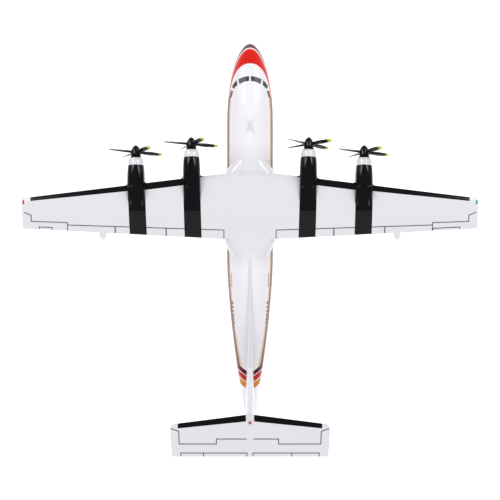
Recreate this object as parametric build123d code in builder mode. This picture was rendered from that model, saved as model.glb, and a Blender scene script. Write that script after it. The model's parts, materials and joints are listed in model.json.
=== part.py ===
"""Desk display model of a four-engined, high-wing, T-tailed propeller airliner.

Row frame: millimetres, +X towards the aircraft's left (port) side, +Y towards
the tail, +Z up. The origin is at the mouth of the belly socket that takes the
post of a display stand. Stations are distances aft of the nose tip. Engines
are numbered from the left wing tip to the right one, as on the real aircraft.
"""

import os
from math import cos, pi, radians, sin, sqrt, tan

from build123d import *

os.makedirs("parts", exist_ok=True)

# ---------------------------------------------------------------- driving sizes
SOCKET_STATION = 185.0  # station of the belly socket, which is the origin
FAR = 40.0  # reach of a cutting prism beyond the piece it cuts
TRIM_MARGIN = 0.3  # clearance of a trimming prism outside a sharp edge

FUSELAGE_RADIUS = 25.1
BELLY_Z = 0.6
CROWN_Z = BELLY_Z + 2 * FUSELAGE_RADIUS
NOSE_LENGTH = 91.0
NOSE_TIP_Z = 19.0
NOSE_BLUNTNESS = {"width": 0.55, "crown": 0.72, "belly": 0.55}
NOSE_FIRST_FRAME = 0.35
TAIL_START = 231.0
TAIL_CROWN_DROP = 4.0
TAIL_BELLY_RISE = 33.0
TAIL_CAP_START = 397.0
TAIL_END = 404.0

WING_HALF_SPAN = 236.25
WING_CENTRE_HALF_WIDTH = 29.5
WING_LE_CENTRE = 140.5
WING_TE_CENTRE = 215.0
WING_LE_TIP = 171.0
WING_TE_TIP = 202.7
WING_ROOT_Z = 48.0
WING_DIHEDRAL = 4.0
WING_ROOT_THICKNESS = 0.155
WING_TIP_THICKNESS = 0.12
WING_CAMBER = 0.018
WING_TIP_FRONT_CORNER = 7.0
WING_TIP_REAR_CORNER = 2.0

INNER_BOOT_WIDTH = 7.6
OUTER_BOOT_ROOT_WIDTH = 6.6
OUTER_BOOT_TIP_WIDTH = 4.2
OUTER_BOOT_END_X = 228.0
BOOT_UNDER_NACELLE = 4.0  # a boot starts this far off the thrust line

ENGINE_X = {1: 119.6, 2: 61.8, 3: -61.8, 4: -119.6}
BLADE_STATION = {1: 122.5, 2: 113.5, 3: 113.5, 4: 122.5}
THRUST_DROOP = 4.8
THRUST_TOE_OUT = 1.2
AXLE_ABOVE_WING = 1.2
COWL_GAP = 6.6  # from the blade plane back to the cowl's front face
COWL_RING_END = 14.6
HUMP_END_STATION = 183.0
NACELLE_TAIL_INSET = 5.0
# Nacelle and cowl frames: half width, top, bottom and corner radius about the thrust line
COWL_FRAMES = (
    (6.3, 6.2, -7.2, 5.6), (7.1, 7.1, -8.5, 6.2), (7.9, 7.9, -9.7, 7.2), (8.2, 8.25, -10.2, 7.7),
    (8.3, 8.4, -10.5, 7.9),
)
COWL_FRAME_OFFSETS = (0.0, 0.5, 2.2, 4.6)  # aft of the cowl's front face
NACELLE_FRAMES = (
    (8.3, 8.4, -10.5, 7.9), (8.8, 9.0, -12.6, 7.4), (9.0, 8.4, -15.5, 6.4),
    (9.0, 4.6, -18.1, 5.0), (8.8, -2.5, -17.7, 4.0), (6.4, -10.3, -13.9, 1.5),
)
NACELLE_SHOULDER = 23.0  # from the blade plane back to the second nacelle frame
CHIN_INTAKE_BELOW_AXIS = 8.0
CHIN_INTAKE_LENGTH = 8.0
CHIN_INTAKE_HEIGHT = 2.2
CHIN_INTAKE_DEPTH = 4.5
LE_WEB_REACH = 3.4  # concave fillet between a nacelle's side and the leading edge
LE_WEB_HALF_DEPTH = 1.7
LE_WEB_SIDE = 8.9

PROP_RADIUS = 30.8
BLADE_COUNT = 4
BLADE_SHANK_RADIUS = 1.3
PROP_CLOCK = {1: 55.0, 2: 62.0, 3: 45.0, 4: 63.5}
AXLE_RADIUS = 1.2
AXLE_CLEARANCE = 0.05
AXLE_HEAD_RADIUS = 2.4
AXLE_DEPTH = 32.0
HUB_REAR = 6.2
HUB_FRONT = 1.6
HUB_RADIUS = 3.6
SHANK_START = 2.3
SHANK_END = 5.6
SPINNER_TOP = 7.5
SPINNER_WALL = 0.7
BACKPLATE_Z = 3.5
BACKPLATE_RADIUS = 5.4
HUB_WAIST_RADIUS = 4.6
HUB_WAIST_Z = 4.5
HUB_FOOT_RADIUS = 5.9
HUB_FOOT_HEIGHT = 1.0
AXLE_HEAD_GAP = 0.3
AXLE_HEAD_HEIGHT = 0.8
WASHER_RADIUS = 2.4
WASHER_HEIGHT = 0.3
# Blade stages: share of the blade's length beyond its round root, chord, thickness and pitch
BLADE_STAGES = (
    (0.12, 3.8, 2.2, 42.0), (0.34, 4.9, 1.6, 36.0), (0.66, 5.1, 1.2, 31.0), (0.89, 5.0, 1.0, 29.0),
    (0.97, 4.0, 0.85, 28.0), (1.0, 2.3, 0.6, 28.0),
)
BLADE_ROOT_PITCH = 48.0

TAILPLANE_Z = 110.5
TAILPLANE_HALF_SPAN = 79.0
TAILPLANE_TIP_INSET = 2.0
TAILPLANE_FRONT_CORNER = 6.0
TAILPLANE_REAR_CORNER = 2.5
TAILPLANE_LE_CENTRE = 386.5
TAILPLANE_LE_TIP = 396.6
TAILPLANE_TE = 428.3
TAILPLANE_THICKNESS = 0.105
TAIL_BOOT_START_X = 4.0
TAIL_BOOT_END_X = 71.0
TAIL_BOOT_ROOT_WIDTH = 6.3
TAIL_BOOT_TIP_WIDTH = 4.6

FIN_FOOT_Z = 38.0
FIN_FOOT_LE = 331.0
FIN_FOOT_TE = 402.0
FIN_TOP_LE = 381.5
FIN_TOP_TE = 424.0
FIN_WIDTH = 7.8

FLAP_FAIRING_X = 154.0
FLAP_FAIRING_DROP = 1.2  # below the chord line
# Flap fairing frames: distance behind the trailing edge, half width, half height
FLAP_FAIRING_FRAMES = (
    (-20.0, 1.0, 0.8), (-12.0, 3.2, 2.2), (-3.0, 4.0, 2.6), (4.5, 2.9, 2.0), (7.5, 1.4, 1.1),
)
# Wing root fairing frames: station, half width, lower edge, corner radius
ROOT_FAIRING_TOP = CROWN_Z - 1.2
ROOT_FAIRING_FRAMES = (
    (129.0, 17.3, 13.0, 12.0), (138.0, 23.6, 18.0, 11.5), (145.5, 27.4, 25.0, 10.5),
    (155.0, 28.2, 28.0, 9.5), (195.0, 28.2, 28.0, 9.5), (211.0, 27.4, 26.0, 10.0),
    (220.0, 25.2, 20.0, 11.0), (236.0, 17.3, 13.0, 12.0),
)
SMALLEST_FAIRING_VOLUME = 20.0
# Dorsal ridge frames: station, half width, half height
DORSAL_FRAMES = (
    (233.0, 1.5, 0.9), (270.0, 1.9, 2.8), (305.0, 2.4, 6.2), (350.0, 3.1, 14.0),
)
DORSAL_SINK = 0.6

NAV_LIGHT_LENGTH = 4.6
NAV_LIGHT_WIDTH = 4.0
NAV_LIGHT_BEHIND_LE = 4.2
BEACON_RADIUS = 1.3
BEACON_HEIGHT = 2.6
BEACON_ABOVE_TAILPLANE = 1.2
BEACON_BEHIND_LE = 8.0
BEACON_ROUNDING = 1.1
ANTENNA_HALF_THICKNESS = 0.6
# Antenna outline: station and height above the crown
ANTENNA_OUTLINE = ((88.5, -1.5), (98.0, -1.5), (98.6, 6.0), (95.6, 6.4), (88.5, 0.2))

SOCKET_BORE_RADIUS = 3.0
SOCKET_BORE_DEPTH = 18.0
SOCKET_TUBE_RADIUS = 4.6
SOCKET_TUBE_LENGTH = 20.0
SOCKET_FLANGE_RADIUS = 9.0
SOCKET_FLANGE_THICKNESS = 2.4
SOCKET_SCREW_CIRCLE = 6.8
SOCKET_SCREW_COUNT = 3
SOCKET_SCREW_RADIUS = 0.8
SOCKET_SCREW_HEAD_RADIUS = 1.5
SOCKET_SCREW_HEAD_DEPTH = 0.9
SOCKET_SCREW_LENGTH = 9.0

DOWEL_RADIUS = 2.0
DOWEL_REACH = 9.0
WING_DOWEL_STATIONS = (161.0, 189.0)
WING_DOWEL_Z = WING_ROOT_Z + 1.6
SADDLE_DOWEL_STATIONS = (160.0, 192.0)
SADDLE_DOWEL_ENDS = (30.0, WING_ROOT_Z + 2.0)
FIN_DOWEL_RADIUS = 1.5
FIN_DOWEL_STATIONS = (358.0, 380.0)
FIN_DOWEL_ENDS = (38.0, 60.0)
FIN_DOWEL_RAKE = 8.0
TAILPLANE_DOWEL_STATION = 402.0
TAILPLANE_DOWEL_FOOT = 98.0


def row_y(station):
    """Row Y of a fuselage station."""
    return station - SOCKET_STATION


def save(builder, name):
    """Label a finished piece and write it out."""
    builder.part.label = name
    export_step(builder.part, f"parts/{name}.step")


# ------------------------------------------------------------------- fuselage
def nose_growth(fraction, bluntness):
    """Blunt nose curve: 0 at the tip, 1 where the cabin reaches full size."""
    return (1 - (1 - min(fraction, 1.0)) ** 2.2) ** bluntness


def fuselage_frame(station):
    """Half width, underside height and crown height of the body at a station."""
    fraction = station / NOSE_LENGTH
    half_width = FUSELAGE_RADIUS * nose_growth(fraction, NOSE_BLUNTNESS["width"])
    crown_growth = nose_growth(fraction * 1.1, NOSE_BLUNTNESS["crown"])
    belly_growth = nose_growth(fraction * 1.25, NOSE_BLUNTNESS["belly"])
    high = NOSE_TIP_Z + (CROWN_Z - NOSE_TIP_Z) * crown_growth
    low = NOSE_TIP_Z - (NOSE_TIP_Z - BELLY_Z) * belly_growth
    if station > TAIL_START:
        run = station - TAIL_START
        share = run / (TAIL_END - TAIL_START)
        half_width -= 0.00524 * run**1.607
        high -= TAIL_CROWN_DROP * share**2
        low += TAIL_BELLY_RISE * share**1.6
    if station > TAIL_CAP_START:
        cap = (station - TAIL_CAP_START) / (TAIL_END - TAIL_CAP_START)
        shrink = sqrt(1 - 0.96 * cap**2)
        middle = (high + low) / 2
        half_width *= shrink
        high = middle + (high - middle) * shrink
        low = middle + (low - middle) * shrink
    return half_width, low, high


def fuselage_envelope():
    """Whole fuselage, lofted through elliptical frames from nose to tail."""
    nose = [NOSE_FIRST_FRAME] + [NOSE_LENGTH * (k / 14) ** 2 for k in range(2, 14)]
    cabin = [NOSE_LENGTH, 125.0, 160.0, 195.0, TAIL_START]
    tail = [TAIL_START + 20.75 * k for k in range(1, 9)]
    cap = [400.5, 402.8, TAIL_END]
    with BuildPart() as envelope:
        for station in nose + cabin + tail + cap:
            half_width, low, high = fuselage_frame(station)
            with BuildSketch(Plane.XZ.offset(-row_y(station))):
                with Locations((0, (low + high) / 2)):
                    Ellipse(half_width, (high - low) / 2)
        loft()
    return envelope.part


# -------------------------------------------------------------------- aerofoils
def aerofoil(plane, chord, thickness, camber):
    """Closed aerofoil face on a plane whose x runs aft and whose y runs up."""
    upper = []
    lower = []
    for k in range(10):
        share = (1 - cos(pi * k / 9)) / 2
        middle = camber * 4 * share * (1 - share)
        half = 0.009 * share + 5 * thickness * (
            0.2969 * sqrt(share) - 0.126 * share - 0.3516 * share**2
            + 0.2843 * share**3 - 0.1036 * share**4
        )
        upper.append((chord * share, chord * (middle + half)))
        lower.append((chord * share, chord * (middle - half)))
    with BuildSketch(plane) as section:
        with BuildLine():
            Spline(*(upper[::-1] + lower[1:]))
            Line(lower[-1], upper[-1])
        make_face()
    return section.sketch


def wing_le(x):
    """Station of the wing's leading edge at a distance from the centreline."""
    return WING_LE_CENTRE + (WING_LE_TIP - WING_LE_CENTRE) * abs(x) / WING_HALF_SPAN


def wing_te(x):
    """Station of the wing's trailing edge at a distance from the centreline."""
    return WING_TE_CENTRE + (WING_TE_TIP - WING_TE_CENTRE) * abs(x) / WING_HALF_SPAN


def wing_z(x):
    """Height of the chord line: flat centre, then constant dihedral."""
    outboard = max(abs(x) - WING_CENTRE_HALF_WIDTH, 0.0)
    return WING_ROOT_Z + outboard * tan(radians(WING_DIHEDRAL))


def wing_section(x):
    """Wing aerofoil at a spanwise place, on a fore-and-aft plane."""
    taper = abs(x) / WING_HALF_SPAN
    thickness = WING_ROOT_THICKNESS + (WING_TIP_THICKNESS - WING_ROOT_THICKNESS) * taper
    nose = (x, row_y(wing_le(x)), wing_z(x))
    plane = Plane(origin=nose, x_dir=(0, 1, 0), z_dir=(1, 0, 0))
    return aerofoil(plane, wing_te(x) - wing_le(x), thickness, WING_CAMBER)


def wing_envelope(x_inner, x_outer):
    """Solid between two wing sections, with no tip rounding."""
    with BuildPart() as envelope:
        loft([wing_section(x_inner), wing_section(x_outer)], ruled=True)
    return envelope.part


def le_strip(x_start, x_end, edge, start_width, end_width):
    """Upright prism over the front of a wing or tailplane, for its boot."""
    with BuildPart() as prism:
        with BuildSketch(Plane.XY):
            with BuildLine():
                Polyline(
                    (x_start, row_y(edge(x_start)) - FAR),
                    (x_end, row_y(edge(x_end)) - FAR),
                    (x_end, row_y(edge(x_end)) + end_width),
                    (x_start, row_y(edge(x_start)) + start_width),
                    close=True,
                )
            make_face()
        extrude(amount=2 * TAILPLANE_Z)
    return prism.part


# --------------------------------------------------------------- engine planes
def disc_plane(engine):
    """Propeller disc: x towards the right wing, y up, z aft along the thrust line."""
    x = ENGINE_X[engine]
    outward = 1 if x > 0 else -1
    hub = (x, row_y(BLADE_STATION[engine]), wing_z(x) + AXLE_ABOVE_WING)
    aft = (-outward * tan(radians(THRUST_TOE_OUT)), 1, tan(radians(THRUST_DROOP)))
    return Plane(origin=hub, x_dir=(-1, 0, 0), z_dir=aft)


def side_plane(engine):
    """Plane through the thrust line: x sideways from it, y forward along it."""
    disc = disc_plane(engine)
    return Plane(origin=disc.origin, x_dir=disc.x_dir, z_dir=disc.y_dir)


def thrust_axis(engine):
    """Axis of the propeller, pointing forward."""
    disc = disc_plane(engine)
    return Axis(disc.origin, disc.z_dir * -1)


def turned(engine, outline):
    """Solid of revolution about the thrust line from (radius, forward) points."""
    with BuildPart() as piece:
        with BuildSketch(side_plane(engine)):
            with BuildLine():
                Polyline(*outline, close=True)
            make_face()
        revolve(axis=thrust_axis(engine))
    return piece


def lofted_pod(engine, places, frames):
    """Loft of rounded rectangles, each a distance aft of the propeller disc."""
    disc = disc_plane(engine)
    with BuildPart() as pod:
        for aft, (half_width, top, bottom, corner) in zip(places, frames):
            with BuildSketch(disc.offset(aft)):
                with Locations((0, (top + bottom) / 2)):
                    RectangleRounded(2 * half_width, top - bottom, corner)
        loft()
    return pod.part


# ---------------------------------------------------------------------- wing
def build_wing_centre():
    """Flat middle of the wing, seated in a saddle cut in the fuselage crown."""
    with BuildPart() as wing_centre:
        add(WING_CENTRE_BODY)
        add(WING_DOWELS, mode=Mode.SUBTRACT)
        add(SADDLE_DOWELS, mode=Mode.SUBTRACT)
    save(wing_centre, "wing_centre")


def tip_trim(side):
    """Upright prism that rounds the two corners of a wing tip."""
    root = side * WING_CENTRE_HALF_WIDTH
    tip = side * WING_HALF_SPAN
    with BuildPart() as trim:
        with BuildSketch(Plane.XY) as plan:
            with BuildLine():
                Polyline(
                    (root, row_y(wing_le(root)) - TRIM_MARGIN),
                    (tip, row_y(wing_le(tip)) - TRIM_MARGIN),
                    (tip, row_y(wing_te(tip)) + TRIM_MARGIN),
                    (root, row_y(wing_te(root)) + TRIM_MARGIN),
                    close=True,
                )
            make_face()
            tip_end = -1 if side > 0 else 0
            front, rear = plan.vertices().group_by(Axis.X)[tip_end].sort_by(Axis.Y)
            fillet(rear, WING_TIP_REAR_CORNER)
            fillet(front, WING_TIP_FRONT_CORNER)
        extrude(amount=2 * TAILPLANE_Z)
    return trim.part


def light_block(side):
    """Block that cuts the navigation light out of the wing tip's front corner."""
    with BuildPart() as block:
        with BuildSketch(Plane.XY):
            with Locations((side * WING_HALF_SPAN, row_y(WING_LE_TIP + NAV_LIGHT_BEHIND_LE))):
                Rectangle(NAV_LIGHT_WIDTH, NAV_LIGHT_LENGTH)
        extrude(amount=2 * TAILPLANE_Z)
    return block.part


def build_wing_panel(side, word):
    """One outer wing panel with its boots and its navigation light."""
    engines = [1, 2] if side > 0 else [4, 3]
    outer_x = ENGINE_X[engines[0]]
    inner_x = ENGINE_X[engines[1]]
    shell = wing_envelope(side * WING_CENTRE_HALF_WIDTH, side * WING_HALF_SPAN)
    under = side * BOOT_UNDER_NACELLE
    inner_strip = le_strip(
        inner_x + under, outer_x - under, wing_le, INNER_BOOT_WIDTH, INNER_BOOT_WIDTH
    )
    outer_strip = le_strip(
        outer_x + under, side * OUTER_BOOT_END_X, wing_le,
        OUTER_BOOT_ROOT_WIDTH, OUTER_BOOT_TIP_WIDTH,
    )
    with BuildPart() as envelope:
        add(shell)
        add(tip_trim(side), mode=Mode.INTERSECT)
    with BuildPart() as panel:
        add(envelope.part)
        add(inner_strip, mode=Mode.SUBTRACT)
        add(outer_strip, mode=Mode.SUBTRACT)
        add(light_block(side), mode=Mode.SUBTRACT)
        add(WING_DOWELS, mode=Mode.SUBTRACT)
    save(panel, f"wing_panel_{word}")
    with BuildPart() as boots:
        add(inner_strip)
        add(outer_strip)
        add(envelope.part, mode=Mode.INTERSECT)
    save(boots, f"wing_boots_{word}")
    with BuildPart() as light:
        add(envelope.part)
        add(light_block(side), mode=Mode.INTERSECT)
    save(light, f"nav_light_{word}")


def build_flap_fairings():
    """Pods under the trailing edge that reach a little way behind it."""
    with BuildPart() as fairings:
        for side in (1, -1):
            x = side * FLAP_FAIRING_X
            te = wing_te(x)
            for back, half_width, height in FLAP_FAIRING_FRAMES:
                with BuildSketch(Plane.XZ.offset(-row_y(te + back))):
                    with Locations((x, wing_z(x) - FLAP_FAIRING_DROP)):
                        Ellipse(half_width, height)
            loft()
        add(OUTER_WINGS, mode=Mode.SUBTRACT)
    save(fairings, "flap_fairings")


# -------------------------------------------------------------------- engines
def le_webs(engine):
    """Small concave fillets between a nacelle's sides and the wing's leading edge."""
    x = ENGINE_X[engine]
    with BuildPart() as webs:
        for hand in (1, -1):
            inside = x + hand * LE_WEB_SIDE / 2
            near = x + hand * LE_WEB_SIDE
            far = near + hand * LE_WEB_REACH
            front = row_y(wing_le(near)) - LE_WEB_REACH
            edge = row_y(wing_le(far)) + 0.4
            middle = (near + hand * LE_WEB_REACH * (1 - sqrt(0.5)), edge - LE_WEB_REACH * (1 - sqrt(0.5)))
            with BuildSketch(Plane.XY.offset(wing_z(near) - LE_WEB_HALF_DEPTH)):
                with BuildLine():
                    Polyline((far, edge), (far, edge + LE_WEB_REACH), (inside, edge + LE_WEB_REACH),
                             (inside, front), (near, front))
                    ThreePointArc((near, front), middle, (far, edge))
                make_face()
            extrude(amount=2 * LE_WEB_HALF_DEPTH)
    return webs.part


def build_nacelle(engine):
    """Nacelle body: a hump over the wing and a bay under it."""
    x = ENGINE_X[engine]
    blade = BLADE_STATION[engine]
    at_le = wing_le(x) - blade
    at_hump_end = HUMP_END_STATION - blade
    at_tail = wing_te(x) - NACELLE_TAIL_INSET - blade
    places = (
        COWL_RING_END, NACELLE_SHOULDER, at_le, (at_le + at_hump_end) / 2, at_hump_end, at_tail
    )
    with BuildPart() as nacelle:
        add(lofted_pod(engine, places, NACELLE_FRAMES))
        add(le_webs(engine))
        add(OUTER_WINGS, mode=Mode.SUBTRACT)
        add(axle_rod(engine), mode=Mode.SUBTRACT)
    save(nacelle, f"nacelle_{engine}")


def build_cowl_ring(engine):
    """White nose ring of a nacelle, with the chin air intake under the hub."""
    places = [COWL_GAP + offset for offset in COWL_FRAME_OFFSETS] + [COWL_RING_END]
    with BuildPart() as ring:
        add(lofted_pod(engine, places, COWL_FRAMES))
        with BuildSketch(disc_plane(engine).offset(COWL_GAP)):
            with Locations((0, -CHIN_INTAKE_BELOW_AXIS)):
                SlotOverall(CHIN_INTAKE_LENGTH, CHIN_INTAKE_HEIGHT)
        extrude(amount=CHIN_INTAKE_DEPTH, mode=Mode.SUBTRACT)
        add(axle_rod(engine), mode=Mode.SUBTRACT)
    save(ring, f"cowl_ring_{engine}")


def axle_rod(engine):
    """Plain stem of the axle pin, from the hub's front face into the nacelle."""
    with BuildPart() as rod:
        with BuildSketch(disc_plane(engine).offset(-HUB_FRONT)):
            Circle(AXLE_RADIUS)
        extrude(amount=HUB_FRONT + AXLE_DEPTH)
    return rod.part


def build_axle_pin(engine):
    """Headed pin, fixed in the nacelle, that the propeller turns on."""
    with BuildPart() as pin:
        add(axle_rod(engine))
        head_rear = disc_plane(engine).offset(-HUB_FRONT - AXLE_HEAD_GAP)
        with BuildSketch(head_rear):
            Circle(AXLE_RADIUS)
        extrude(amount=AXLE_HEAD_GAP)
        with BuildSketch(head_rear):
            Circle(AXLE_HEAD_RADIUS)
        extrude(amount=-AXLE_HEAD_HEIGHT)
    save(pin, f"axle_pin_{engine}")


def blade_rod(engine, index):
    """Plane across a blade's root, x along the disc's edge, z out along the blade."""
    disc = disc_plane(engine)
    angle = radians(PROP_CLOCK[engine] + 360 * index / BLADE_COUNT)
    outward = disc.x_dir * cos(angle) + disc.y_dir * sin(angle)
    around = disc.y_dir * cos(angle) - disc.x_dir * sin(angle)
    return Plane(origin=disc.origin, x_dir=around, z_dir=outward)


def shanks(engine, radius):
    """The round blade roots of one propeller, as cutters."""
    with BuildPart() as rods:
        for index in range(BLADE_COUNT):
            with BuildSketch(blade_rod(engine, index).offset(SHANK_START)):
                Circle(radius)
            extrude(amount=SHANK_END - SHANK_START)
    return rods.part


def build_hub(engine):
    """Turned hub and backplate, bored for the axle and drilled for the blades."""
    bore = AXLE_RADIUS + AXLE_CLEARANCE
    outline = (
        (bore, -HUB_REAR), (HUB_FOOT_RADIUS, -HUB_REAR), (HUB_FOOT_RADIUS, -HUB_REAR + HUB_FOOT_HEIGHT),
        (HUB_WAIST_RADIUS, -HUB_WAIST_Z), (BACKPLATE_RADIUS, -BACKPLATE_Z),
        (HUB_RADIUS, -BACKPLATE_Z), (HUB_RADIUS, HUB_FRONT), (bore, HUB_FRONT),
    )
    with BuildPart() as hub:
        add(turned(engine, outline).part)
        add(shanks(engine, BLADE_SHANK_RADIUS), mode=Mode.SUBTRACT)
    save(hub, f"hub_{engine}")


def spinner_profile(base_radius, top, fullness):
    """Ogive from the backplate forward to the tip, as (radius, forward) points."""
    points = []
    for k in range(9):
        share = sin(pi / 2 * k / 8)
        forward = share * (top + BACKPLATE_Z) - BACKPLATE_Z
        points.append((base_radius * (1 - share**fullness) ** 0.62, forward))
    return points


def build_spinner(engine):
    """Hollow pointed spinner, seated on the backplate, notched for the blades."""
    outer = spinner_profile(BACKPLATE_RADIUS, SPINNER_TOP, 2.3)
    inner = spinner_profile(BACKPLATE_RADIUS - SPINNER_WALL, SPINNER_TOP - 1.5 * SPINNER_WALL, 2.6)
    with BuildPart() as spinner:
        with BuildSketch(side_plane(engine)):
            with BuildLine():
                Spline(*outer)
                Line(outer[-1], inner[-1])
                Spline(*inner)
                Line(inner[0], outer[0])
            make_face()
        revolve(axis=thrust_axis(engine))
        add(shanks(engine, BLADE_SHANK_RADIUS + 0.1), mode=Mode.SUBTRACT)
    save(spinner, f"spinner_{engine}")


def build_blades(engine):
    """Four twisted blades whose round roots sit in the hub."""
    shank = 2 * BLADE_SHANK_RADIUS
    stages = ((0.0, shank, shank, BLADE_ROOT_PITCH),) + BLADE_STAGES
    forward = disc_plane(engine).z_dir * -1
    with BuildPart() as blades:
        for index in range(BLADE_COUNT):
            root = blade_rod(engine, index)
            for share, chord, thick, pitch in stages:
                across = root.x_dir * cos(radians(pitch)) + forward * sin(radians(pitch))
                place = root.origin + root.z_dir * (SHANK_END + share * (PROP_RADIUS - SHANK_END))
                with BuildSketch(Plane(origin=place, x_dir=across, z_dir=root.z_dir)):
                    Ellipse(chord / 2, thick / 2)
            loft()
        add(shanks(engine, BLADE_SHANK_RADIUS))
    save(blades, f"blades_{engine}")


def build_thrust_washers():
    """Thin washers between each cowl ring and the hub behind it."""
    with BuildPart() as washers:
        for engine in ENGINE_X:
            with BuildSketch(disc_plane(engine).offset(COWL_GAP - WASHER_HEIGHT)):
                Circle(WASHER_RADIUS)
                Circle(AXLE_RADIUS, mode=Mode.SUBTRACT)
            extrude(amount=WASHER_HEIGHT)
    save(washers, "thrust_washers")


# ----------------------------------------------------------------------- tail
def tailplane_le(x):
    """Station of the tailplane's leading edge."""
    run = TAILPLANE_LE_TIP - TAILPLANE_LE_CENTRE
    return TAILPLANE_LE_CENTRE + run * abs(x) / TAILPLANE_HALF_SPAN


def tailplane_half(side):
    """One half of the tailplane with its rounded tip."""
    sections = []
    for x in (0.0, side * TAILPLANE_HALF_SPAN):
        nose = (x, row_y(tailplane_le(x)), TAILPLANE_Z)
        plane = Plane(origin=nose, x_dir=(0, 1, 0), z_dir=(1, 0, 0))
        chord = TAILPLANE_TE - tailplane_le(x)
        sections.append(aerofoil(plane, chord, TAILPLANE_THICKNESS, 0.0))
    tip = side * TAILPLANE_HALF_SPAN
    with BuildPart() as half:
        loft(sections, ruled=True)
        with BuildSketch(Plane.XY) as plan:
            with BuildLine():
                Polyline(
                    (0, row_y(TAILPLANE_LE_CENTRE) - TRIM_MARGIN),
                    (tip, row_y(TAILPLANE_LE_TIP) - TRIM_MARGIN),
                    (tip - side * TAILPLANE_TIP_INSET, row_y(TAILPLANE_TE) + TRIM_MARGIN),
                    (0, row_y(TAILPLANE_TE) + TRIM_MARGIN),
                    close=True,
                )
            make_face()
            fillet(plan.vertices().sort_by(Axis.X, reverse=side > 0)[0], TAILPLANE_FRONT_CORNER)
            rear_corner = plan.vertices().sort_by(Axis((0, 0, 0), (side, 1, 0)))[-1]
            fillet(rear_corner, TAILPLANE_REAR_CORNER)
        extrude(amount=2 * TAILPLANE_Z, mode=Mode.INTERSECT)
    return half.part


def tail_boot_strip(side):
    """Prism over one half of the tailplane's leading edge."""
    return le_strip(
        side * TAIL_BOOT_START_X, side * TAIL_BOOT_END_X, tailplane_le,
        TAIL_BOOT_ROOT_WIDTH, TAIL_BOOT_TIP_WIDTH,
    )


def build_tailplane():
    """One-piece tailplane on top of the fin, less its boots and its dowel hole."""
    with BuildPart() as tailplane:
        add(TAILPLANE_BODY)
        for side in (1, -1):
            add(tail_boot_strip(side), mode=Mode.SUBTRACT)
        add(TAILPLANE_DOWEL, mode=Mode.SUBTRACT)
    save(tailplane, "tailplane")


def build_tail_boot(side, word):
    """Black leading-edge boot on one half of the tailplane."""
    with BuildPart() as boot:
        add(TAILPLANE_BODY)
        add(tail_boot_strip(side), mode=Mode.INTERSECT)
    save(boot, f"tail_boot_{word}")


def fin_envelope():
    """Swept fin, from inside the rear fuselage to the tailplane."""
    sections = []
    for z, le, te in ((FIN_FOOT_Z, FIN_FOOT_LE, FIN_FOOT_TE), (TAILPLANE_Z, FIN_TOP_LE, FIN_TOP_TE)):
        plane = Plane(origin=(0, row_y(le), z), x_dir=(0, 1, 0), z_dir=(0, 0, 1))
        sections.append(aerofoil(plane, te - le, FIN_WIDTH / (te - le), 0.0))
    with BuildPart() as envelope:
        loft(sections, ruled=True)
    return envelope.part


def build_fin():
    """Fin, trimmed to the fuselage below and to the tailplane above."""
    with BuildPart() as fin:
        add(fin_envelope())
        add(FUSELAGE_BODY, mode=Mode.SUBTRACT)
        add(TAILPLANE_BODY, mode=Mode.SUBTRACT)
        add(FIN_DOWELS, mode=Mode.SUBTRACT)
        add(TAILPLANE_DOWEL, mode=Mode.SUBTRACT)
    save(fin, "fin")


def build_dorsal_fin():
    """Long low ridge that grows along the crown into the fin's leading edge."""
    with BuildPart() as dorsal_fin:
        for station, half_width, rise in DORSAL_FRAMES:
            high = fuselage_frame(station)[2]
            with BuildSketch(Plane.XZ.offset(-row_y(station))):
                with Locations((0, high - DORSAL_SINK)):
                    Ellipse(half_width, rise)
        loft()
        add(FUSELAGE_BODY, mode=Mode.SUBTRACT)
        add(fin_envelope(), mode=Mode.SUBTRACT)
    solids = dorsal_fin.solids().sort_by(SortBy.VOLUME)
    with BuildPart() as ridge:
        add(solids[-1])
    save(ridge, "dorsal_fin")


def build_beacon():
    """Red anti-collision light on the centreline of the tailplane."""
    with BuildPart() as beacon:
        with BuildSketch(Plane.XY.offset(TAILPLANE_Z + BEACON_ABOVE_TAILPLANE)):
            with Locations((0, row_y(TAILPLANE_LE_CENTRE + BEACON_BEHIND_LE))):
                Circle(BEACON_RADIUS)
        extrude(amount=BEACON_HEIGHT)
        fillet(beacon.edges().group_by(Axis.Z)[-1], BEACON_ROUNDING)
        add(TAILPLANE_BODY, mode=Mode.SUBTRACT)
    save(beacon, "beacon")


# ---------------------------------------------------------------- small parts
def antenna_blade():
    """Swept blade antenna, with a foot let into the fuselage crown."""
    with BuildPart() as blade:
        with BuildSketch(Plane.YZ.offset(-ANTENNA_HALF_THICKNESS)):
            with BuildLine():
                Polyline(*[(row_y(s), CROWN_Z + rise) for s, rise in ANTENNA_OUTLINE], close=True)
            make_face()
        extrude(amount=2 * ANTENNA_HALF_THICKNESS)
    return blade


def socket_screw_places():
    """Polar places of the flange screws, on the given workplane."""
    return PolarLocations(SOCKET_SCREW_CIRCLE, SOCKET_SCREW_COUNT, start_angle=90)


def socket_screws():
    """Countersunk screws, driven up through the socket's flange."""
    with BuildPart() as screws:
        with BuildSketch(Plane.XY):
            with socket_screw_places():
                Circle(SOCKET_SCREW_HEAD_RADIUS)
        extrude(amount=SOCKET_SCREW_HEAD_DEPTH, taper=45)
        with BuildSketch(Plane.XY):
            with socket_screw_places():
                Circle(SOCKET_SCREW_RADIUS)
        extrude(amount=SOCKET_SCREW_LENGTH)
    return screws


def stand_socket():
    """Flanged tube in the belly that slides over a display stand's post."""
    with BuildPart() as socket:
        with BuildSketch(Plane.XY):
            Circle(SOCKET_FLANGE_RADIUS)
        extrude(amount=SOCKET_FLANGE_THICKNESS)
        with BuildSketch(Plane.XY):
            Circle(SOCKET_TUBE_RADIUS)
        extrude(amount=SOCKET_TUBE_LENGTH)
    return socket


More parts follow.
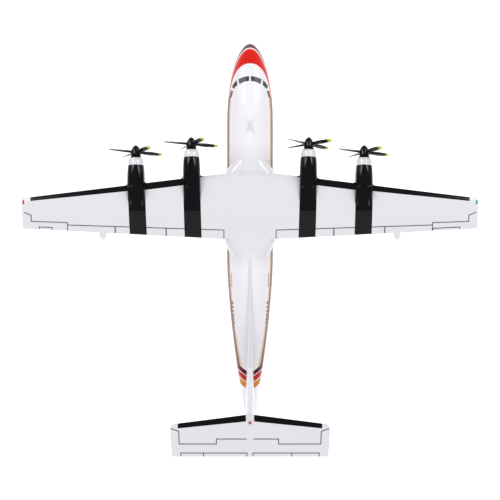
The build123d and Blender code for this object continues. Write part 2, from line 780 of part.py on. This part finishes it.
def build_socket():
    """Stand socket, bored for the post and drilled for its screws."""
    with BuildPart() as bored:
        add(SOCKET_BODY)
        with BuildSketch(Plane.XY):
            Circle(SOCKET_BORE_RADIUS)
        extrude(amount=SOCKET_BORE_DEPTH, mode=Mode.SUBTRACT)
        add(SOCKET_SCREWS, mode=Mode.SUBTRACT)
    save(bored, "stand_socket")


def dowels(ends, radius):
    """Round wooden dowels, each between two points."""
    with BuildPart() as pins:
        for start, end in ends:
            along = Vector(*end) - Vector(*start)
            with BuildSketch(Plane(origin=start, z_dir=along)):
                Circle(radius)
            extrude(amount=along.length)
    return pins


def wing_dowel_ends():
    """Two dowels across each joint between the wing's centre and its panels."""
    ends = []
    for side in (1, -1):
        for station in WING_DOWEL_STATIONS:
            ends.append((
                (side * (WING_CENTRE_HALF_WIDTH - DOWEL_REACH), row_y(station), WING_DOWEL_Z),
                (side * (WING_CENTRE_HALF_WIDTH + DOWEL_REACH), row_y(station), WING_DOWEL_Z),
            ))
    return ends


def build_fuselage():
    """Fuselage, cut for everything that is let into it."""
    with BuildPart() as fuselage:
        add(FUSELAGE_BODY)
        for cutter in (WING_CENTRE_BODY, SADDLE_DOWELS, FIN_DOWELS, ANTENNA, SOCKET_BODY, SOCKET_SCREWS):
            add(cutter, mode=Mode.SUBTRACT)
    save(fuselage, "fuselage")


def build_root_fairing():
    """Shoulders that blend the fuselage sides into the wing's underside."""
    with BuildPart() as saddle:
        for station, half_width, low, corner in ROOT_FAIRING_FRAMES:
            with BuildSketch(Plane.XZ.offset(-row_y(station))):
                with Locations((0, (ROOT_FAIRING_TOP + low) / 2)):
                    RectangleRounded(2 * half_width, ROOT_FAIRING_TOP - low, corner)
        loft()
        for cutter in (FUSELAGE_BODY, WING_CENTRE_BODY, OUTER_WINGS):
            add(cutter, mode=Mode.SUBTRACT)
    with BuildPart() as fairing:
        add([solid for solid in saddle.solids() if solid.volume > SMALLEST_FAIRING_VOLUME])
    save(fairing, "wing_root_fairing")


# ------------------------------------------------------------ the whole aircraft
FUSELAGE_BODY = fuselage_envelope()

with BuildPart() as wing_centre_body:
    add(wing_envelope(0, WING_CENTRE_HALF_WIDTH))
    add(wing_envelope(-WING_CENTRE_HALF_WIDTH, 0))
WING_CENTRE_BODY = wing_centre_body.part

with BuildPart() as outer_wings:
    add(wing_envelope(WING_CENTRE_HALF_WIDTH, WING_HALF_SPAN))
    add(wing_envelope(-WING_CENTRE_HALF_WIDTH, -WING_HALF_SPAN))
OUTER_WINGS = outer_wings.part

with BuildPart() as tailplane_body:
    add(tailplane_half(1))
    add(tailplane_half(-1))
TAILPLANE_BODY = tailplane_body.part

wing_dowels = dowels(wing_dowel_ends(), DOWEL_RADIUS)
WING_DOWELS = wing_dowels.part
saddle_low, saddle_high = SADDLE_DOWEL_ENDS
saddle_dowels = dowels(
    [((0, row_y(s), saddle_low), (0, row_y(s), saddle_high)) for s in SADDLE_DOWEL_STATIONS],
    DOWEL_RADIUS,
)
SADDLE_DOWELS = saddle_dowels.part
fin_low, fin_high = FIN_DOWEL_ENDS
fin_dowels = dowels(
    [((0, row_y(s), fin_low), (0, row_y(s + FIN_DOWEL_RAKE), fin_high)) for s in FIN_DOWEL_STATIONS],
    FIN_DOWEL_RADIUS,
)
FIN_DOWELS = fin_dowels.part
tailplane_dowel_y = row_y(TAILPLANE_DOWEL_STATION)
tailplane_dowel = dowels(
    [((0, tailplane_dowel_y, TAILPLANE_DOWEL_FOOT), (0, tailplane_dowel_y, TAILPLANE_Z))],
    FIN_DOWEL_RADIUS,
)
TAILPLANE_DOWEL = tailplane_dowel.part
SOCKET_BODY = stand_socket().part
SOCKET_SCREWS = socket_screws().part
ANTENNA = antenna_blade().part

for pins, name in (
    (wing_dowels, "wing_dowels"), (saddle_dowels, "saddle_dowels"),
    (fin_dowels, "fin_dowels"), (tailplane_dowel, "tailplane_dowel"),
    (socket_screws(), "socket_screws"), (antenna_blade(), "blade_antenna"),
):
    save(pins, name)

build_fuselage()
build_socket()
build_wing_centre()
build_root_fairing()
build_flap_fairings()
build_tailplane()
build_fin()
build_dorsal_fin()
build_beacon()
build_thrust_washers()
for side, word in ((1, "left"), (-1, "right")):
    build_wing_panel(side, word)
    build_tail_boot(side, word)
for engine in ENGINE_X:
    build_nacelle(engine)
    build_cowl_ring(engine)
    build_axle_pin(engine)
    build_hub(engine)
    build_spinner(engine)
    build_blades(engine)
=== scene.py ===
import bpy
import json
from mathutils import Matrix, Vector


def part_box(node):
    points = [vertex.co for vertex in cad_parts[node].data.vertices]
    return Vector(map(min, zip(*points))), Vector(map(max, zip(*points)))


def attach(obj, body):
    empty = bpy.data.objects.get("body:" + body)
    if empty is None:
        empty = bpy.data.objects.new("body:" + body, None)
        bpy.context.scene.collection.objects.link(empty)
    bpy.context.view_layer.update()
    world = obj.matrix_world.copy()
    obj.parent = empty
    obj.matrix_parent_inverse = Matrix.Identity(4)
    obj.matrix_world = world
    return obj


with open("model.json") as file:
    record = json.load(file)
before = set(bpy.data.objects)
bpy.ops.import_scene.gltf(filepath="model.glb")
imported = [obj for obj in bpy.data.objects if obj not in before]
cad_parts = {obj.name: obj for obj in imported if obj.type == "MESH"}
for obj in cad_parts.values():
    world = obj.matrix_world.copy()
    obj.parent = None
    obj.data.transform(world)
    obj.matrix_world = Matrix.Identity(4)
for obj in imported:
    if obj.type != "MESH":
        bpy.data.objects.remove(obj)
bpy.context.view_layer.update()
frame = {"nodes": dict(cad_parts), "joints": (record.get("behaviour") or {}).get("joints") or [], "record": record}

# Looks of the airliner display model: lacquer, inked lines, livery and studio.
# Lengths in the tables are millimetres: x is towards the left wing tip, s is a
# station, the distance aft of the nose tip, and z is the height above the origin.

import json
from math import pi

import bmesh
import bpy
from mathutils import Vector
from mathutils.bvhtree import BVHTree

MM = 0.001
NODES = frame["nodes"]
NOSE_BLUNTING = 0.35 * MM
NOSE_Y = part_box("fuselage")[0].y - NOSE_BLUNTING
BELLY_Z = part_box("fuselage")[0].z
WING_TE_CENTRE, WING_TE_TIP = 215.0, 202.7
HALF_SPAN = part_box("wing_panel_left")[1].x / MM
TAIL_TE = (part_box("tailplane")[1].y - NOSE_Y) / MM


def wing_te(x):
    """Station of the wing's trailing edge."""
    return WING_TE_CENTRE + (WING_TE_TIP - WING_TE_CENTRE) * abs(x) / HALF_SPAN


# ------------------------------------------------------------ camera and studio
CAMERA_STATION = 225.0
CAMERA_HEIGHT = 957.0
LENS_MM = 62.0
SENSOR_MM = 36.0
SKY_COLOUR = (0.97, 0.98, 1.0, 1)
SKY_STRENGTH = 0.31
LIGHT_AIM = (0, 0, 0.03)
# Soft boxes that stand on both sides, in metres: place on the left, size, and power in watts
LIGHTS = {
    "key": ((0.60, -0.62, 1.02), (0.30, 0.18), 2.8),
    "front": ((0.95, -0.95, 0.8), (0.9, 0.9), 6.3),
    "rear": ((0.85, 1.25, 0.85), (0.9, 0.6), 9),
}
FLOOR_REACH = 4.0
FLOOR_Z = -0.22
FLOOR_GLOW = 0.35


def build_camera():
    """Straight down over the wing's trailing edge, nose at the top of the picture."""
    data = bpy.data.cameras.new("camera")
    data.lens = LENS_MM
    data.sensor_width = SENSOR_MM
    data.clip_start = 0.01
    camera = bpy.data.objects.new("camera", data)
    camera.location = (0, NOSE_Y + CAMERA_STATION * MM, BELLY_Z + CAMERA_HEIGHT * MM)
    camera.rotation_euler = (0, 0, pi)
    bpy.context.scene.collection.objects.link(camera)
    bpy.context.scene.camera = camera


def area_light(name, place, size, power):
    """One soft box, turned to face the model."""
    data = bpy.data.lights.new(name, "AREA")
    data.shape = "RECTANGLE"
    data.size, data.size_y = size
    data.energy = power
    light = bpy.data.objects.new(name, data)
    light.location = place
    light.rotation_euler = (Vector(LIGHT_AIM) - Vector(place)).to_track_quat("-Z", "Y").to_euler()
    bpy.context.scene.collection.objects.link(light)


def build_studio():
    """Pale floor well below the model, even sky and three soft boxes a side."""
    scene = bpy.context.scene
    scene.view_settings.view_transform = "Standard"
    world = bpy.data.worlds.new("studio")
    scene.world = world
    world.use_nodes = True
    background = world.node_tree.nodes["Background"]
    background.inputs["Color"].default_value = SKY_COLOUR
    background.inputs["Strength"].default_value = SKY_STRENGTH
    for side, word in ((1, "left"), (-1, "right")):
        for kind, ((x, y, z), size, power) in LIGHTS.items():
            area_light(f"{word}_{kind}", (side * x, y, z), size, power)
    mesh = bpy.data.meshes.new("floor")
    signs = ((-1, -1), (1, -1), (1, 1), (-1, 1))
    corners = [(x * FLOOR_REACH, y * FLOOR_REACH, FLOOR_Z) for x, y in signs]
    mesh.from_pydata(corners, [], [(0, 1, 2, 3)])
    floor = bpy.data.objects.new("floor", mesh)
    scene.collection.objects.link(floor)
    material = bpy.data.materials.new("floor_paper")
    material.use_nodes = True
    shader = material.node_tree.nodes["Principled BSDF"]
    shader.inputs["Base Color"].default_value = (0.94, 0.94, 0.94, 1)
    shader.inputs["Roughness"].default_value = 0.9
    shader.inputs["Emission Color"].default_value = (1, 1, 1, 1)
    shader.inputs["Emission Strength"].default_value = FLOOR_GLOW
    mesh.materials.append(material)


# ------------------------------------------------------------- material helpers
class Field:
    """A value that varies over a surface, written as arithmetic, made of Math nodes."""

    def __init__(self, tree, socket):
        self.tree = tree
        self.socket = socket

    def _combine(self, operation, *others):
        node = self.tree.nodes.new("ShaderNodeMath")
        node.operation = operation
        for slot, value in enumerate((self, *others)):
            if isinstance(value, Field):
                self.tree.links.new(value.socket, node.inputs[slot])
            else:
                node.inputs[slot].default_value = value
        return Field(self.tree, node.outputs[0])

    def __add__(self, other):
        return self._combine("ADD", other)

    def __sub__(self, other):
        return self._combine("SUBTRACT", other)

    def __mul__(self, other):
        return self._combine("MULTIPLY", other)

    def below(self, other):
        return self._combine("LESS_THAN", other)

    def above(self, other):
        return self._combine("GREATER_THAN", other)

    def both(self, other):
        return self._combine("MULTIPLY", other)

    def power(self, other):
        return self._combine("POWER", other)

    def exp(self):
        return self._combine("EXPONENT")

    def __rsub__(self, other):
        return self * -1.0 + other

    def size(self):
        return self._combine("ABSOLUTE")

    def at_least(self, other):
        return self._combine("MAXIMUM", other)

    def at_most(self, other):
        return self._combine("MINIMUM", other)


def spread(field, low, high):
    """Map a 0 to 1 field onto a range."""
    return field * (high - low) + low


class Surface:
    """A Principled material under construction, with its object coordinates in mm."""

    def __init__(self, name):
        self.material = bpy.data.materials.new(name)
        self.material.use_nodes = True
        self.tree = self.material.node_tree
        self.shader = self.tree.nodes["Principled BSDF"]
        self.place = self.tree.nodes.new("ShaderNodeTexCoord").outputs["Object"]
        split = self.tree.nodes.new("ShaderNodeSeparateXYZ")
        self.tree.links.new(self.place, split.inputs[0])
        self.x = Field(self.tree, split.outputs[0]) * (1 / MM)
        self.s = (Field(self.tree, split.outputs[1]) - NOSE_Y) * (1 / MM)
        self.z = Field(self.tree, split.outputs[2]) * (1 / MM)

    def noise(self, per_mm, detail=2.0):
        """Soft noise field, 0 to 1, with so many features per millimetre."""
        node = self.tree.nodes.new("ShaderNodeTexNoise")
        node.inputs["Scale"].default_value = per_mm / MM
        node.inputs["Detail"].default_value = detail
        self.tree.links.new(self.place, node.inputs["Vector"])
        return Field(self.tree, node.outputs["Fac"])

    def blend(self, mask, under, over):
        """Colour socket that shows over where the mask is 1."""
        node = self.tree.nodes.new("ShaderNodeMix")
        node.data_type = "RGBA"
        self.tree.links.new(mask.socket, node.inputs["Factor"])
        for slot, colour in ((6, under), (7, over)):
            if isinstance(colour, tuple):
                node.inputs[slot].default_value = (*colour, 1)
            else:
                self.tree.links.new(colour, node.inputs[slot])
        return node.outputs[2]

    def colour(self, socket):
        self.tree.links.new(socket, self.shader.inputs["Base Color"])

    def rough(self, field):
        self.tree.links.new(field.socket, self.shader.inputs["Roughness"])

    def bump(self, field, depth_mm):
        """Relief of a given depth."""
        node = self.tree.nodes.new("ShaderNodeBump")
        node.inputs["Strength"].default_value = 1.0
        node.inputs["Distance"].default_value = depth_mm * MM
        self.tree.links.new(field.socket, node.inputs["Height"])
        self.tree.links.new(node.outputs[0], self.shader.inputs["Normal"])


WHITE = (0.80, 0.79, 0.835)
WHITE_SHADE = (0.765, 0.757, 0.80)
# painted light: a brighter, lit copy of the white for the fuselage's nose and tail
LIT_WHITE = (0.885, 0.875, 0.915)
BLACK = (0.002, 0.002, 0.0022)
BLACK_DUST = (0.0045, 0.0045, 0.005)
STRIP_BLACK = (0.015, 0.015, 0.0155)
MAROON = (0.11, 0.012, 0.02)
RED = (0.72, 0.014, 0.008)
TAIL_RED = (0.50, 0.020, 0.018)
ORANGE = (0.60, 0.22, 0.035)
CREAM = (0.86, 0.72, 0.60)
PINK_WHITE = (0.88, 0.74, 0.74)
BRONZE = (0.20, 0.085, 0.04)
STRIPE_EDGE = (0.72, 0.56, 0.44)
TIP_YELLOW = (0.62, 0.66, 0.035)
# How many features a millimetre the lacquer's colour, gloss and relief have
CLOUDING, HAZE, ORANGE_PEEL = 0.018, 0.08, 0.45
ORANGE_PEEL_DEPTH = 0.010

STRIPE_TOP, STRIPE_FOOT, STRIPE_EDGE_WIDTH = 37.0, 23.0, 2.2
SWOOSH_CROWN, SWOOSH_END = 26.0, 60.0
SWOOSH_FOOT, SWOOSH_DEPTH, SWOOSH_DECAY = 33.8, 6.4, 12.5
NOSE_TIP_LINE, NOSE_LINE_WIDTH, NOSE_LINE_TOP = 26.6, 1.5, 29.2
TAIL_START, TAIL_STRIPE_RISE, TAIL_BELLY_RISE = 231.0, 0.0005, 0.0009
CHIN_LENGTH, CHIN_DROP = 40.0, 6.0
BRUSH_WOBBLE = 0.4
YELLOW_FROM, YELLOW_RAGGED = 26.6, 0.8
HUMP_END = 184.0
WING_MIDDLE, WING_REACH = 178.0, 48.0
BELLY_SIDE = 31.0
CHEVRON_START, CHEVRON_LEAN = 355.2, 0.68
CHEVRONS = (
    (4.8, MAROON), (1.0, PINK_WHITE), (5.7, TAIL_RED), (1.4, CREAM), (5.9, ORANGE),
)


def lacquer(name, colour, shade, rough_low=0.10, rough_high=0.22, gloss=1.0, clear=0.5):
    """Sprayed and polished gloss lacquer: faint clouding and orange peel."""
    surface = Surface(name)
    surface.colour(surface.blend(surface.noise(CLOUDING, 3), colour, shade))
    surface.rough(spread(surface.noise(HAZE, 3), rough_low, rough_high))
    surface.bump(surface.noise(ORANGE_PEEL, 1), ORANGE_PEEL_DEPTH)
    surface.shader.inputs["Specular IOR Level"].default_value = 0.3 * gloss
    surface.shader.inputs["Coat Weight"].default_value = clear * gloss
    surface.shader.inputs["Coat Roughness"].default_value = 0.04
    return surface


def band(field, low, high):
    """1 where a field lies between two values."""
    return field.above(low).both(field.below(high))


def fuselage_paint():
    """White lacquer with the nose swoosh, the side stripe and the tail chevrons."""
    surface = lacquer("fuselage_paint", WHITE, WHITE_SHADE, gloss=0.7, clear=0.2)
    colour = surface.shader.inputs["Base Color"].links[0].from_socket
    s, z, side = surface.s, surface.z, surface.x.size()
    # painted light: the nose and tail get a brighter, lit copy of the white, fading out towards the wing joint
    painted_light_mask = (((s - WING_MIDDLE).size() - WING_REACH) * (1 / 20)).at_least(0.0).at_most(1.0)
    colour = surface.blend(painted_light_mask, colour, LIT_WHITE)
    wobble = (surface.noise(0.12, 1) - 0.5) * BRUSH_WOBBLE
    height = z + wobble
    tail_run = (s - TAIL_START).at_least(0.0)
    stripe_top = tail_run.power(2.0) * TAIL_STRIPE_RISE + STRIPE_TOP
    # the red of the nose falls off along the sides, down to the side stripe
    behind = ((s - SWOOSH_CROWN) * (-1 / SWOOSH_DECAY)).exp().at_most(1.0)
    red_top = behind * SWOOSH_DEPTH + SWOOSH_FOOT
    red = height.below(red_top).at_least(s.below(SWOOSH_CROWN)).both(s.below(SWOOSH_END))
    lean = s + side * CHEVRON_LEAN + wobble
    ahead = lean.below(CHEVRON_START + 1.0)
    aft = s.above(SWOOSH_END)
    edge = height.below(stripe_top + STRIPE_EDGE_WIDTH).both(aft).both(ahead)
    colour = surface.blend(edge, colour, STRIPE_EDGE)
    colour = surface.blend(red, colour, RED)
    # maroon nose tip under a thin pale line; the bronze side stripe carries on behind it
    tip_top = (s * 0.13 + NOSE_TIP_LINE).at_most(NOSE_LINE_TOP)
    line = height.below(tip_top + NOSE_LINE_WIDTH).both(s.below(SWOOSH_END))
    colour = surface.blend(line, colour, PINK_WHITE)
    stripe = height.below(tip_top + (stripe_top - tip_top).both(aft)).both(ahead)
    colour = surface.blend(stripe, colour, MAROON)
    colour = surface.blend(stripe.both(aft), colour, BRONZE)
    # belly under the stripe, in the plain white without the painted light
    chin = (1.0 - (s * (1 / CHIN_LENGTH)).at_most(1.0)) * CHIN_DROP
    belly_top = tail_run.power(2.0) * TAIL_BELLY_RISE + STRIPE_FOOT - chin
    colour = surface.blend(height.below(belly_top), colour, WHITE)
    # tail chevrons lean forward towards the sides and end above the belly
    upper = z.above(BELLY_SIDE)
    place = CHEVRON_START
    for width, paint in CHEVRONS:
        colour = surface.blend(band(lean, place, place + width).both(upper), colour, paint)
        place += width
    surface.colour(colour)
    return surface.material


def plain(name, colour, shade, roughness, metallic=0.0, grain=1.0, depth=0.01):
    """Simple material with a little colour and gloss variation."""
    surface = Surface(name)
    surface.colour(surface.blend(surface.noise(0.15 * grain, 3), colour, shade))
    surface.rough(spread(surface.noise(0.4 * grain, 2), roughness, roughness + 0.12))
    surface.bump(surface.noise(1.2 * grain, 2), depth)
    surface.shader.inputs["Metallic"].default_value = metallic
    return surface.material


def paint_node(name, material):
    """Give a CAD node one material in all its slots."""
    for slot in NODES[name].material_slots:
        slot.material = material


def strip_paint():
    """Black over the hump; the strip behind it is painted a lighter, greyer black."""
    surface = lacquer("strip_black", BLACK, BLACK_DUST, gloss=0.4)
    colour = surface.shader.inputs["Base Color"].links[0].from_socket
    surface.colour(surface.blend(surface.s.above(HUMP_END), colour, STRIP_BLACK))
    return surface.material


def propeller_paint(engine, joint):
    """Gloss black with hand-dipped yellow blade tips."""
    surface = lacquer(f"propeller_paint_{engine}", BLACK, BLACK_DUST, 0.12, 0.26, gloss=0.5)
    colour = surface.shader.inputs["Base Color"].links[0].from_socket
    hub = Vector(joint["pos_m"])
    axis = Vector(joint["axis"]).normalized()
    arm = surface.tree.nodes.new("ShaderNodeVectorMath")
    arm.operation = "SUBTRACT"
    arm.inputs[1].default_value = hub
    surface.tree.links.new(surface.place, arm.inputs[0])
    cross = surface.tree.nodes.new("ShaderNodeVectorMath")
    cross.operation = "CROSS_PRODUCT"
    cross.inputs[1].default_value = axis
    surface.tree.links.new(arm.outputs[0], cross.inputs[0])
    length = surface.tree.nodes.new("ShaderNodeVectorMath")
    length.operation = "LENGTH"
    surface.tree.links.new(cross.outputs[0], length.inputs[0])
    radius = Field(surface.tree, length.outputs["Value"]) * (1 / MM)
    ragged = radius + (surface.noise(0.5, 1) - 0.5) * YELLOW_RAGGED
    # one face of the upper left blade was missed by the yellow
    facing = surface.tree.nodes.new("ShaderNodeVectorMath")
    facing.operation = "DOT_PRODUCT"
    facing.inputs[1].default_value = axis
    normal = surface.tree.nodes.new("ShaderNodeTexCoord").outputs["Normal"]
    surface.tree.links.new(normal, facing.inputs[0])
    face = Field(surface.tree, facing.outputs["Value"]).above(0.0)
    missed = face.both(surface.x.above(hub.x / MM + 4.0)).both(surface.z.above(hub.z / MM + 2.0))
    dipped = ragged.above(YELLOW_FROM).both(1.0 - missed)
    surface.colour(surface.blend(dipped, colour, TIP_YELLOW))
    return surface.material


# ------------------------------------------------------------ painted-on pieces
def tree_of(names):
    """Ray-casting tree over some CAD nodes."""
    points = []
    faces = []
    for name in names:
        mesh = NODES[name].data
        start = len(points)
        points.extend(v.co.copy() for v in mesh.vertices)
        faces.extend([start + i for i in p.vertices] for p in mesh.polygons)
    return BVHTree.FromPolygons(points, faces)


def from_above(u, v):
    """Ray straight down at x = u, station = v."""
    return Vector((u * MM, NOSE_Y + v * MM, 0.3)), Vector((0, 0, -1))


def from_left(u, v):
    """Ray from the left side at station u, height v."""
    return Vector((0.2, NOSE_Y + u * MM, v * MM)), Vector((-1, 0, 0))


def from_right(u, v):
    """Ray from the right side at station u, height v."""
    return Vector((-0.2, NOSE_Y + u * MM, v * MM)), Vector((1, 0, 0))


LIFT = 0.045 * MM
FILM = 0.03 * MM


def cut_grid(mesh, cell):
    """Divide a flat sheet along a square grid."""
    for axis in (0, 1):
        values = [v.co[axis] for v in mesh.verts]
        low, high = min(values), max(values)
        count = int((high - low) / cell)
        for k in range(1, count + 1):
            place = Vector((0, 0, 0))
            place[axis] = low + (high - low) * k / (count + 1)
            normal = Vector((0, 0, 0))
            normal[axis] = 1
            geometry = mesh.verts[:] + mesh.edges[:] + mesh.faces[:]
            bmesh.ops.bisect_plane(mesh, geom=geometry, plane_co=place, plane_no=normal)


def film(name, outlines, rays, target, material, cell=2.0, lift=LIFT):
    """Thin closed film of paint over the CAD surface, inside flat outlines."""
    sheet = bmesh.new()
    for outline in outlines:
        sheet.faces.new([sheet.verts.new((u, v, 0)) for u, v in outline])
    cut_grid(sheet, cell)
    lost = []
    for vert in sheet.verts:
        origin, direction = rays(vert.co.x, vert.co.y)
        hit, normal, _, _ = target.ray_cast(origin, direction)
        if hit is None:
            lost.append(vert)
            continue
        if normal.dot(direction) > 0:
            normal = -normal
        vert.co = hit + normal * lift
    bmesh.ops.delete(sheet, geom=lost, context="VERTS")
    inward = rays(0, 0)[1]
    for face in sheet.faces:
        face.normal_update()
        if face.normal.dot(inward) > 0:
            face.normal_flip()
    bmesh.ops.solidify(sheet, geom=sheet.faces[:], thickness=FILM)
    for face in sheet.faces:
        face.smooth = True
    mesh = bpy.data.meshes.new(name)
    sheet.to_mesh(mesh)
    sheet.free()
    mesh.materials.append(material)
    piece = bpy.data.objects.new(name, mesh)
    bpy.context.scene.collection.objects.link(piece)
    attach(piece, "airframe")


def stroke(points, width):
    """Outline of a mitred line through some points."""
    half = width / 2
    left = []
    right = []
    for k, (u, v) in enumerate(points):
        before = Vector(points[max(k - 1, 0)])
        after = Vector(points[min(k + 1, len(points) - 1)])
        here = Vector((u, v))
        arrive = (here - before).normalized() if k else (after - here).normalized()
        leave = (after - here).normalized() if k < len(points) - 1 else arrive
        normal = Vector((-(arrive + leave).y, (arrive + leave).x)).normalized()
        reach = half / max(normal.dot(Vector((-arrive.y, arrive.x))), 0.4)
        left.append(here + normal * reach)
        right.append(here - normal * reach)
    return [tuple(p) for p in left + right[::-1]]


build_camera()
build_studio()

WHITE_LACQUER = lacquer("white_lacquer", WHITE, WHITE_SHADE).material
BLACK_LACQUER = lacquer("black_lacquer", BLACK, BLACK_DUST, gloss=0.4).material
FUSELAGE_PAINT = fuselage_paint()
INK = plain("ink", (0.05, 0.045, 0.06), (0.08, 0.07, 0.09), 0.3)
STRIP = strip_paint()
WINDOW = plain("window_paint", (0.030, 0.037, 0.044), (0.045, 0.048, 0.055), 0.18)
MARK = plain("mark_ink", (0.14, 0.12, 0.13), (0.2, 0.18, 0.19), 0.35)
EXIT_LINE = plain("exit_line", (0.32, 0.2, 0.14), (0.38, 0.26, 0.2), 0.35)
WOOD = plain("dowel_wood", (0.5, 0.33, 0.18), (0.38, 0.24, 0.12), 0.5)
BRASS = plain("socket_brass", (0.78, 0.56, 0.24), (0.66, 0.46, 0.18), 0.22, 1.0, 3.0, 0.004)
STEEL = plain("screw_steel", (0.62, 0.62, 0.63), (0.5, 0.5, 0.52), 0.25, 1.0, 3.0, 0.004)
RED_LENS = plain("red_lens", (0.55, 0.015, 0.02), (0.42, 0.01, 0.015), 0.08)
GREEN_LENS = plain("green_lens", (0.01, 0.38, 0.17), (0.01, 0.28, 0.12), 0.08)

MATERIAL_OF_SLOT = {
    "white_lacquer": WHITE_LACQUER, "black_lacquer": BLACK_LACQUER, "dowel_wood": WOOD,
    "socket_brass": BRASS, "screw_steel": STEEL, "red_lens": RED_LENS, "green_lens": GREEN_LENS,
}
for part in frame["record"]["subparts"]:
    if part["material_slot"] in MATERIAL_OF_SLOT:
        paint_node(part["node"], MATERIAL_OF_SLOT[part["material_slot"]])
paint_node("fuselage", FUSELAGE_PAINT)
for joint in frame["joints"]:
    engine = joint["child"].split("_")[1]
    paint = propeller_paint(engine, joint)
    for piece in ("hub", "spinner", "blades"):
        paint_node(f"{piece}_{engine}", paint)

WING = tree_of(["wing_centre", "wing_panel_left", "wing_panel_right"])
TAIL = tree_of(["tailplane"])
BODY = tree_of(["fuselage"])
LINE, TICK = 0.9, 1.2
EDGE_GAP = 0.4
# Control-surface lines of the left wing as (x, station); they end at the trailing edge
FLAP_LINE = ((27.5, 204.0), (189.5, 199.0))
AILERON_LINE = ((190.0, 196.5), (227.0, 195.3), (227.0, 189.0), (234.5, 185.9))
FLAP_TICKS = (88.0, 141.0)
# Small aileron tabs, which differ between the sides: outer and inner x
TABS = {1: (219.0, 206.0), -1: (218.0, 190.5)}
TAB_DEPTH, TAB_GAP = 2.6, 0.5
# Elevator lines of the left side; the step and the tick differ between the sides
ELEVATOR_FRONT, ELEVATOR_STEP_LINE, ELEVATOR_CENTRE = 415.5, 410.5, 3.3
ELEVATOR_STEP = {1: 33.0, -1: 28.0}
ELEVATOR_TICK = {1: 45.6, -1: 41.0}
HINGE_LINE = 424.5
TAIL_GAP = 0.3


def flap_line_station(x):
    """Station of the flap line's rear edge."""
    (inner_x, inner_s), (outer_x, outer_s) = FLAP_LINE
    return inner_s + (x - inner_x) * (outer_s - inner_s) / (outer_x - inner_x) + LINE / 2


def mirrored(points, side):
    """The same line on the left, side 1, or the right, side -1."""
    return [(side * x, s) for x, s in points]


for side, word in ((1, "left"), (-1, "right")):
    flap = [(FLAP_LINE[0][0], wing_te(FLAP_LINE[0][0]) - EDGE_GAP), *FLAP_LINE]
    aileron = [(AILERON_LINE[0][0], wing_te(AILERON_LINE[0][0]) - EDGE_GAP), *AILERON_LINE]
    lines = [stroke(mirrored(flap, side), LINE), stroke(mirrored(aileron, side), LINE)]
    for x in FLAP_TICKS:
        tick = [(x, flap_line_station(x)), (x, wing_te(x) - EDGE_GAP)]
        lines.append(stroke(mirrored(tick, side), TICK))
    outer, inner = TABS[side]
    tab = [(outer, wing_te(outer) - TAB_GAP), (outer, wing_te(outer) - TAB_DEPTH),
           (inner, wing_te(inner) - TAB_DEPTH), (inner, wing_te(inner) - TAB_GAP)]
    lines.append(stroke(mirrored(tab, side), LINE))
    film(f"wing_lines_{word}", lines, from_above, WING, INK)
    step = ELEVATOR_STEP[side]
    elevator = [(77.6, 400.4), (70.0, 403.0), (69.5, ELEVATOR_FRONT), (step, ELEVATOR_FRONT),
                (step, ELEVATOR_STEP_LINE), (ELEVATOR_CENTRE, ELEVATOR_STEP_LINE)]
    tabs = [(68.0, TAIL_TE - TAIL_GAP), (68.0, HINGE_LINE), (3.0, HINGE_LINE),
            (3.0, TAIL_TE - TAIL_GAP)]
    tick = [(ELEVATOR_TICK[side], 425.0), (ELEVATOR_TICK[side], TAIL_TE - TAIL_GAP)]
    tail_lines = [stroke(mirrored(line, side), LINE) for line in (elevator, tabs, tick)]
    film(f"tail_lines_{word}", tail_lines, from_above, TAIL, INK)

WINDOWS = {
    "front": [(0.9, 40.7), (6.4, 41.5), (12.3, 43.4), (11.3, 49.1), (6.0, 46.9), (0.9, 46.2)],
    "quarter": [(14.0, 44.3), (17.4, 47.2), (19.5, 50.6), (17.4, 53.5), (15.6, 51.4), (13.4, 49.9)],
    "side": [(18.0, 55.9), (20.2, 53.8), (21.1, 57.4), (21.7, 61.3), (19.8, 62.6), (18.9, 59.2)],
}
for side, word in ((1, "left"), (-1, "right")):
    for pane, outline in WINDOWS.items():
        film(f"window_{pane}_{word}", [mirrored(outline, side)], from_above, BODY, WINDOW, cell=1.0)

# Black bands that carry the nacelles' colour over the wing to the trailing edge
STRIP_ORIGIN, STRIP_FRONT, STRIP_HALF_WIDTH = 120.0, 158.0, 8.85
STRIP_REAR_X = {"1": 117.0, "2": 59.8, "3": -60.0, "4": -118.5}
for joint in frame["joints"]:
    engine = joint["child"].split("_")[1]
    nacelle_x = joint["pos_m"][0] / MM
    rear_x = STRIP_REAR_X[engine]
    share = (STRIP_FRONT - STRIP_ORIGIN) / (wing_te(rear_x) - STRIP_ORIGIN)
    front_x = nacelle_x + (rear_x - nacelle_x) * share
    corners = [(front_x - STRIP_HALF_WIDTH, STRIP_FRONT), (front_x + STRIP_HALF_WIDTH, STRIP_FRONT)]
    for x in (rear_x + STRIP_HALF_WIDTH, rear_x - STRIP_HALF_WIDTH):
        corners.append((x, wing_te(x) - TAIL_GAP))
    target = tree_of(["wing_panel_left", "wing_panel_right", f"nacelle_{engine}"])
    name = f"nacelle_strip_{engine}"
    film(name, [corners], from_above, target, STRIP, lift=2 * LIFT)

# Emergency exit outline and the rear marks' starts and lengths, on the sides as (station, z)
EXIT = [(249.5, 40.6), (262.7, 40.6), (263.6, 39.8), (263.6, 33.4), (262.7, 32.4), (249.5, 32.4)]
BLOCKS = ((279.8, 2.6), (284.7, 2.0), (289.0, 1.9), (293.0, 2.4), (297.0, 2.4), (300.8, 2.6))
MARK_FOOT, MARK_TOP = 38.2, 41.4
for rays, word in ((from_left, "left"), (from_right, "right")):
    film(f"exit_line_{word}", [stroke(EXIT, LINE)], rays, BODY, EXIT_LINE)
    blocks = []
    for start, length in BLOCKS:
        end = start + length
        blocks.append([(start, MARK_FOOT), (end, MARK_FOOT), (end, MARK_TOP), (start, MARK_TOP)])
    film(f"rear_marks_{word}", blocks, rays, BODY, MARK, cell=1.0)
